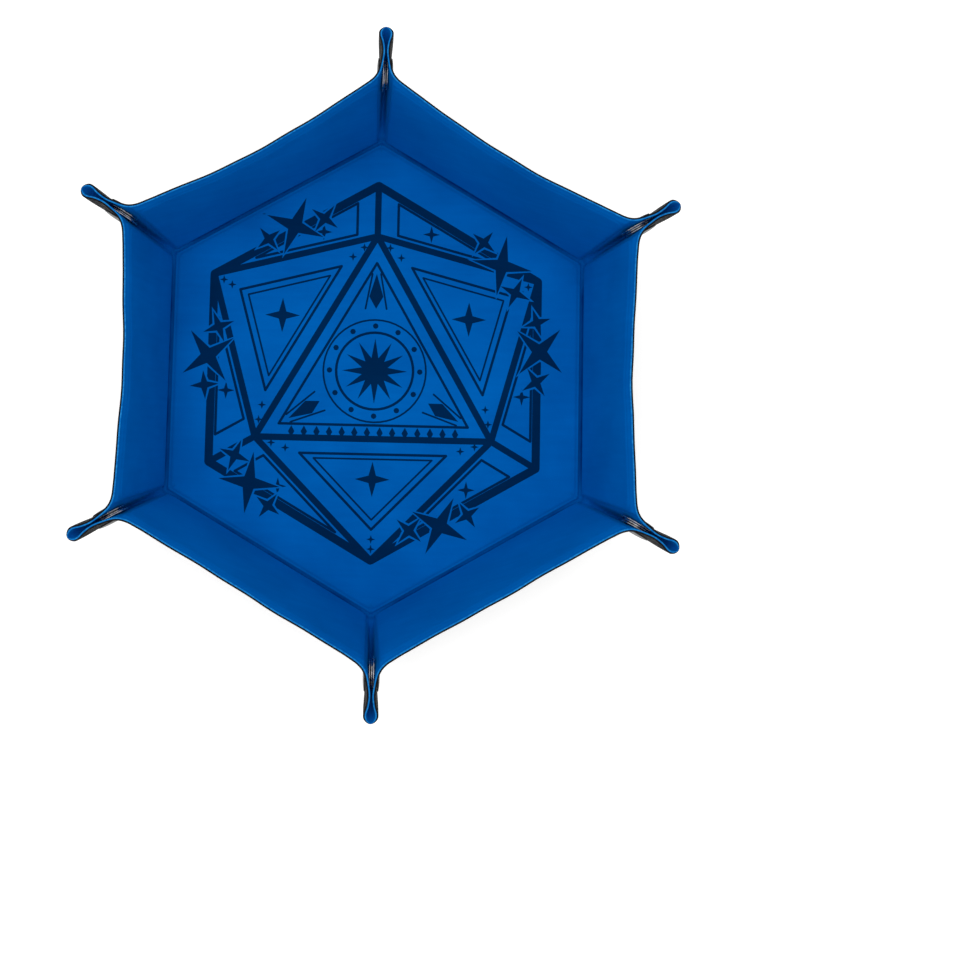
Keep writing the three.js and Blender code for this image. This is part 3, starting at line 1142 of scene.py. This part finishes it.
def turned_mesh(profile, segments=72):
    """A closed turned body about Z, from its closed profile of (radius, height) points."""
    points, loops = [], []
    for radius, height in profile:
        if radius < 1e-6:
            loops.append([len(points)] * segments)
            points.append((0, 0, height))
        else:
            loops.append(list(range(len(points), len(points) + segments)))
            for k in range(segments):
                angle = 2 * math.pi * k / segments
                points.append((radius * math.cos(angle), radius * math.sin(angle), height))
    faces = []
    for loop, after in zip(loops, loops[1:] + loops[:1]):
        if loop[0] == loop[1] and after[0] == after[1]:
            continue
        for k in range(segments):
            m = (k + 1) % segments
            face = (loop[k], loop[m], after[m], after[k])
            faces.append(tuple(dict.fromkeys(face)))
    return points, faces


def rod_mesh(start, end, radius, sides=10):
    """A straight round wire between two points at one height."""
    start, end, up = Vector(start), Vector(end), Vector((0, 0, 1))
    side = (end - start).normalized().cross(up)
    angles = [2 * math.pi * k / sides for k in range(sides)]
    spokes = [radius * (math.cos(a) * side + math.sin(a) * up) for a in angles]
    rings = [centre + spoke for centre in (start, end) for spoke in spokes]
    faces = [(k, (k + 1) % sides, sides + (k + 1) % sides, sides + k) for k in range(sides)]
    faces += [tuple(range(sides))[::-1], tuple(range(sides, 2 * sides))]
    return [tuple(p) for p in rings], faces


def joined(*meshes):
    points, faces = [], []
    for more_points, more_faces in meshes:
        faces += [tuple(v + len(points) for v in face) for face in more_faces]
        points += more_points
    return points, faces


def socket_mesh():
    """A pressed socket: a rolled rim, a dished ring, a raised collar, and two spring wires across
    the bore. Its profile starts at the rivet's hole and ends on the plate round it."""
    roll, hole, bore, plate = 0.3, 2.0, 2.75, 0.35
    rim, collar, shoulder = 5.95, 4.34, 0.95
    wire, wire_reach, wire_off, wire_height = 0.2, 2.5, 1.85, 0.8
    profile = [(hole, 0.0), (rim, 0.0)]
    profile += arc((rim, roll), roll, -80, 115)
    profile += [(5.3, 0.48), (4.9, 0.52), (4.72, 0.65)]
    profile += [(collar + roll, 0.92)]
    profile += arc((collar, shoulder), roll, 0, 90)
    profile += [(3.6, 1.24)]
    profile += arc((bore + roll, shoulder), roll, 90, 180)
    profile += [(bore, wire_height), (bore, plate), (hole, plate)]
    wires = []
    for off in (-wire_off, wire_off):
        ends = [(reach, off, wire_height) for reach in (-wire_reach, wire_reach)]
        wires.append(rod_mesh(*ends, wire))
    return joined(turned_mesh(profile), *wires)


def stud_mesh():
    """A pressed stud: a rolled flange, a dished ring, and a necked knob with a hollow top. Its
    profile starts in the bore for the post's shank and ends on top of the knob."""
    bore, bore_depth = 1.3, 0.95
    rim, roll = 4.98, 0.26
    knob, knob_height, knob_roll = 1.95, 1.08, 0.3
    profile = [(0.0, bore_depth), (bore, bore_depth), (bore, 0.0), (4.95, 0.0)]
    profile += arc((rim, roll), roll, -85, 110)
    profile += [(4.3, 0.38), (3.5, 0.32), (2.9, 0.38), (2.3, 0.5), (2.08, 0.7)]
    profile += [(2.12, 0.88)]
    profile += arc((knob, knob_height), knob_roll, -20, 100)
    profile += [(1.45, 1.34), (1.05, 1.2), (0.6, 1.12), (0.0, 1.1)]
    return turned_mesh(profile)


def cap_mesh(radius, height, shank, length):
    """A domed cap with a rolled edge, on its shank."""
    edge, steps, brim = 0.16, 12, 0.985 * radius
    shares = [k / steps for k in range(steps)]
    profile = [(brim * share, -edge - (height - edge) * dome_height(share)) for share in shares]
    profile += arc((radius - edge, -edge), edge, -60, 90)
    profile += [(shank, 0.0), (shank, length), (0.0, length)]
    return turned_mesh(profile)


def dome_height(share):
    """A flat-topped dome's height over its middle's, at a share of its radius."""
    return (1 - share**2.6) ** 0.62


SNAP_FINISHES = {"nickel_snap": nickel, "black_cap": enamel}


def add_snap_piece(name, mesh, wall, side, off_mirror, slot, node):
    """Stands a turned piece on a flap, off_mirror from the corner's mirror plane, facing it."""
    points, faces = mesh
    x, y = ridge_place(SNAP_REACH, SNAP_OFFSET)
    centre = bend(x, y, FLAP_FACE)
    centre = centre + MIRROR * (off_mirror - centre @ MIRROR)
    axes = np.array([RIDGE_UP, np.cross(-MIRROR, RIDGE_UP), -MIRROR])
    place = centre + np.array(points) @ axes
    place[:, 1] *= side
    if side < 0:
        faces = [face[::-1] for face in faces]
    points = turned_to(place, wall)
    piece = new_object(f"{name}_{wall}", points, faces, [SNAP_FINISHES[slot]], sharp=50)
    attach(piece, f"{FLAPS[side]}_flap_{wall}")
    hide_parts(f"{node}_{wall}")


def add_snap(wall):
    face = FLAP_GAP - SNAP_GAP
    back = FLAP_GAP + FLAP_FACE + SNAP_GAP
    cap = cap_mesh(CAP_RADIUS, CAP_HEIGHT, *CAP_SHANK)
    post = cap_mesh(CAP_RADIUS, CAP_HEIGHT, *POST_SHANK)
    add_snap_piece("nickel_socket", socket_mesh(), wall, -1, face, "nickel_snap", "socket")
    add_snap_piece("nickel_stud", stud_mesh(), wall, 1, face, "nickel_snap", "stud")
    add_snap_piece("enamel_cap", cap, wall, -1, back, "black_cap", "socket_cap")
    add_snap_piece("enamel_post", post, wall, 1, back, "black_cap", "stud_post")


frame["nodes"]["floor_board"].data.materials[0] = greyboard
for wall in range(1, SIDES + 1):
    add_wall_board(wall)
    add_snap(wall)


# ---- Stage, light and camera

def add_stage():
    bpy.ops.mesh.primitive_plane_add(size=8, location=(0, 0, -0.0001))
    ground = bpy.context.object
    ground.name = "ground"
    material, _, shader = node_material("paper_white")
    finish(shader, {"Base Color": PAPER_WHITE, "Roughness": 0.9, "Specular IOR Level": 0.1})
    finish(shader, {"Emission Color": WHITE, "Emission Strength": 0.4})
    ground.data.materials.append(material)


def add_lights():
    world = bpy.data.worlds.new("studio")
    world.use_nodes = True
    finish(world.node_tree.nodes["Background"], {"Color": WHITE, "Strength": 0.73})
    bpy.context.scene.world = world
    data = bpy.data.lights.new("overhead", "AREA")
    data.shape = "DISK"
    data.size = 1.2
    data.energy = 5.2
    light = bpy.data.objects.new("overhead", data)
    light.location = (-0.22, 0.12, 1.3)
    light.rotation_euler = light.location.to_track_quat("Z", "Y").to_euler()
    bpy.context.scene.collection.objects.link(light)


def add_camera():
    """Almost straight above the tray, which stands in the frame's upper left."""
    data = bpy.data.cameras.new("camera")
    data.lens = 35.85
    data.sensor_width = 36
    data.shift_x = 0.1163
    data.shift_y = -0.1153
    data.clip_start = 0.01
    camera = bpy.data.objects.new("camera", data)
    camera.location = (-0.0068, -0.0235, 0.3816)
    camera.rotation_euler = [math.radians(angle) for angle in (3.41, -1.09, 1.32)]
    bpy.context.scene.collection.objects.link(camera)
    bpy.context.scene.camera = camera


add_stage()
add_lights()
add_camera()
bpy.context.scene.view_settings.view_transform = "Standard"
